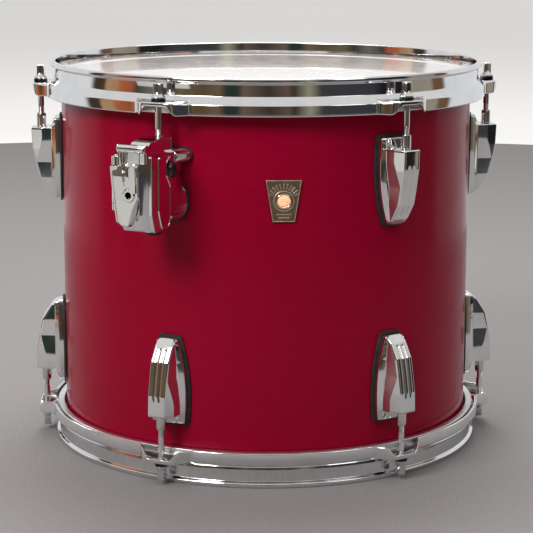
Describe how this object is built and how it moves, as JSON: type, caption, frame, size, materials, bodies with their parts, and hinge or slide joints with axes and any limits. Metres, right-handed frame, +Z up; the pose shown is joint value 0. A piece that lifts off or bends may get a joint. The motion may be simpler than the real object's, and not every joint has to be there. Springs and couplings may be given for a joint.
{
  "type": "tom-tom drum",
  "caption": "Rack tom with a lacquered wood shell, two chrome hoops on tension rods, cast lugs, a vent badge and a hinged bracket that clamps on a rod.",
  "frame": {"origin": "on the drum's axis, at the floor, where the resonant hoop's rim stands", "axes": "+Z up the drum's axis towards the batter head; the bracket is at -X -Y, and the badge is 15 degrees from -Y towards -X"},
  "size_m": [0.3966, 0.3966, 0.3292],
  "materials": {
    "shell_wood": "deep red satin lacquer on a plywood shell",
    "hoop_chrome": "polished chrome plate on pressed steel",
    "lug_chrome": "polished chrome plate on a die casting",
    "bracket_chrome": "polished chrome plate on a die casting",
    "rod_chrome": "chrome plated steel rod",
    "nut_steel": "plated steel",
    "badge_brass": "aged brass",
    "drum_head": "smooth white polyester film",
    "gasket_rubber": "black rubber",
    "bolt_black": "gloss black"
  },
  "bodies": {
    "drum": {"shell": "shell_wood", "badge": "badge_brass", "vent_grommet": "badge_brass", "batter_head": "drum_head", "batter_nut_1": "nut_steel", "batter_nut_2": "nut_steel", "batter_lug_2": "lug_chrome", "batter_lug_gasket_2": "gasket_rubber", "batter_nut_3": "nut_steel", "batter_lug_3": "lug_chrome", "batter_lug_gasket_3": "gasket_rubber", "batter_nut_4": "nut_steel", "batter_lug_4": "lug_chrome", "batter_lug_gasket_4": "gasket_rubber", "batter_nut_5": "nut_steel", "batter_lug_5": "lug_chrome", "batter_lug_gasket_5": "gasket_rubber", "batter_nut_6": "nut_steel", "batter_lug_6": "lug_chrome", "batter_lug_gasket_6": "gasket_rubber", "resonant_head": "drum_head", "resonant_nut_1": "nut_steel", "resonant_lug_1": "lug_chrome", "resonant_lug_gasket_1": "gasket_rubber", "resonant_nut_2": "nut_steel", "resonant_lug_2": "lug_chrome", "resonant_lug_gasket_2": "gasket_rubber", "resonant_nut_3": "nut_steel", "resonant_lug_3": "lug_chrome", "resonant_lug_gasket_3": "gasket_rubber", "resonant_nut_4": "nut_steel", "resonant_lug_4": "lug_chrome", "resonant_lug_gasket_4": "gasket_rubber", "resonant_nut_5": "nut_steel", "resonant_lug_5": "lug_chrome", "resonant_lug_gasket_5": "gasket_rubber", "resonant_nut_6": "nut_steel", "resonant_lug_6": "lug_chrome", "resonant_lug_gasket_6": "gasket_rubber", "mount_body": "bracket_chrome", "mount_hinge_pin": "nut_steel", "mount_upper_gasket": "gasket_rubber", "mount_lower_gasket": "gasket_rubber", "mount_side_bolt": "bolt_black", "mount_bottom_bumper": "gasket_rubber"},
    "batter_hoop": {"batter_hoop": "hoop_chrome"},
    "batter_rod_1": {"batter_rod_1": "rod_chrome"},
    "batter_rod_2": {"batter_rod_2": "rod_chrome"},
    "batter_rod_3": {"batter_rod_3": "rod_chrome"},
    "batter_rod_4": {"batter_rod_4": "rod_chrome"},
    "batter_rod_5": {"batter_rod_5": "rod_chrome"},
    "batter_rod_6": {"batter_rod_6": "rod_chrome"},
    "resonant_hoop": {"resonant_hoop": "hoop_chrome"},
    "resonant_rod_1": {"resonant_rod_1": "rod_chrome"},
    "resonant_rod_2": {"resonant_rod_2": "rod_chrome"},
    "resonant_rod_3": {"resonant_rod_3": "rod_chrome"},
    "resonant_rod_4": {"resonant_rod_4": "rod_chrome"},
    "resonant_rod_5": {"resonant_rod_5": "rod_chrome"},
    "resonant_rod_6": {"resonant_rod_6": "rod_chrome"},
    "mount_jaw": {"mount_jaw": "bracket_chrome"}
  },
  "joints": [
    {"name": "batter_hoop_lift", "type": "slide", "parent": "drum", "child": "batter_hoop", "axis": [0, 0, 1], "range_m": [0, 0.01799]},
    {"name": "batter_rod_1_turn", "type": "hinge", "parent": "batter_hoop", "child": "batter_rod_1", "pos_m": [-0.13753, -0.13753, 0.3104], "axis": [0, 0, 1], "range_deg": [0, 6120]},
    {"name": "batter_rod_2_turn", "type": "hinge", "parent": "batter_hoop", "child": "batter_rod_2", "pos_m": [0.05034, -0.18787, 0.3104], "axis": [0, 0, 1], "range_deg": [0, 6120]},
    {"name": "batter_rod_3_turn", "type": "hinge", "parent": "batter_hoop", "child": "batter_rod_3", "pos_m": [0.18787, -0.05034, 0.3104], "axis": [0, 0, 1], "range_deg": [0, 6120]},
    {"name": "batter_rod_4_turn", "type": "hinge", "parent": "batter_hoop", "child": "batter_rod_4", "pos_m": [0.13753, 0.13753, 0.3104], "axis": [0, 0, 1], "range_deg": [0, 6120]},
    {"name": "batter_rod_5_turn", "type": "hinge", "parent": "batter_hoop", "child": "batter_rod_5", "pos_m": [-0.05034, 0.18787, 0.3104], "axis": [0, 0, 1], "range_deg": [0, 6120]},
    {"name": "batter_rod_6_turn", "type": "hinge", "parent": "batter_hoop", "child": "batter_rod_6", "pos_m": [-0.18787, 0.05034, 0.3104], "axis": [0, 0, 1], "range_deg": [0, 6120]},
    {"name": "resonant_hoop_lift", "type": "slide", "parent": "drum", "child": "resonant_hoop", "axis": [0, 0, -1], "range_m": [0, 0.01799]},
    {"name": "resonant_rod_1_turn", "type": "hinge", "parent": "resonant_hoop", "child": "resonant_rod_1", "pos_m": [-0.13753, -0.13753, 0.0188], "axis": [0, 0, -1], "range_deg": [0, 6120]},
    {"name": "resonant_rod_2_turn", "type": "hinge", "parent": "resonant_hoop", "child": "resonant_rod_2", "pos_m": [0.05034, -0.18787, 0.0188], "axis": [0, 0, -1], "range_deg": [0, 6120]},
    {"name": "resonant_rod_3_turn", "type": "hinge", "parent": "resonant_hoop", "child": "resonant_rod_3", "pos_m": [0.18787, -0.05034, 0.0188], "axis": [0, 0, -1], "range_deg": [0, 6120]},
    {"name": "resonant_rod_4_turn", "type": "hinge", "parent": "resonant_hoop", "child": "resonant_rod_4", "pos_m": [0.13753, 0.13753, 0.0188], "axis": [0, 0, -1], "range_deg": [0, 6120]},
    {"name": "resonant_rod_5_turn", "type": "hinge", "parent": "resonant_hoop", "child": "resonant_rod_5", "pos_m": [-0.05034, 0.18787, 0.0188], "axis": [0, 0, -1], "range_deg": [0, 6120]},
    {"name": "resonant_rod_6_turn", "type": "hinge", "parent": "resonant_hoop", "child": "resonant_rod_6", "pos_m": [-0.18787, 0.05034, 0.0188], "axis": [0, 0, -1], "range_deg": [0, 6120]},
    {"name": "mount_jaw_swing", "type": "hinge", "parent": "drum", "child": "mount_jaw", "pos_m": [-0.17678, -0.15528, 0.246], "axis": [0, 0, -1], "range_deg": [0, 75]}
  ],
  "couplings": [
    {"joint": "batter_rod_1_turn", "follows": "batter_hoop_lift", "rad_per_m": 5936.9},
    {"joint": "batter_rod_2_turn", "follows": "batter_hoop_lift", "rad_per_m": 5936.9},
    {"joint": "batter_rod_3_turn", "follows": "batter_hoop_lift", "rad_per_m": 5936.9},
    {"joint": "batter_rod_4_turn", "follows": "batter_hoop_lift", "rad_per_m": 5936.9},
    {"joint": "batter_rod_5_turn", "follows": "batter_hoop_lift", "rad_per_m": 5936.9},
    {"joint": "batter_rod_6_turn", "follows": "batter_hoop_lift", "rad_per_m": 5936.9},
    {"joint": "resonant_rod_1_turn", "follows": "resonant_hoop_lift", "rad_per_m": 5936.9},
    {"joint": "resonant_rod_2_turn", "follows": "resonant_hoop_lift", "rad_per_m": 5936.9},
    {"joint": "resonant_rod_3_turn", "follows": "resonant_hoop_lift", "rad_per_m": 5936.9},
    {"joint": "resonant_rod_4_turn", "follows": "resonant_hoop_lift", "rad_per_m": 5936.9},
    {"joint": "resonant_rod_5_turn", "follows": "resonant_hoop_lift", "rad_per_m": 5936.9},
    {"joint": "resonant_rod_6_turn", "follows": "resonant_hoop_lift", "rad_per_m": 5936.9}
  ]
}
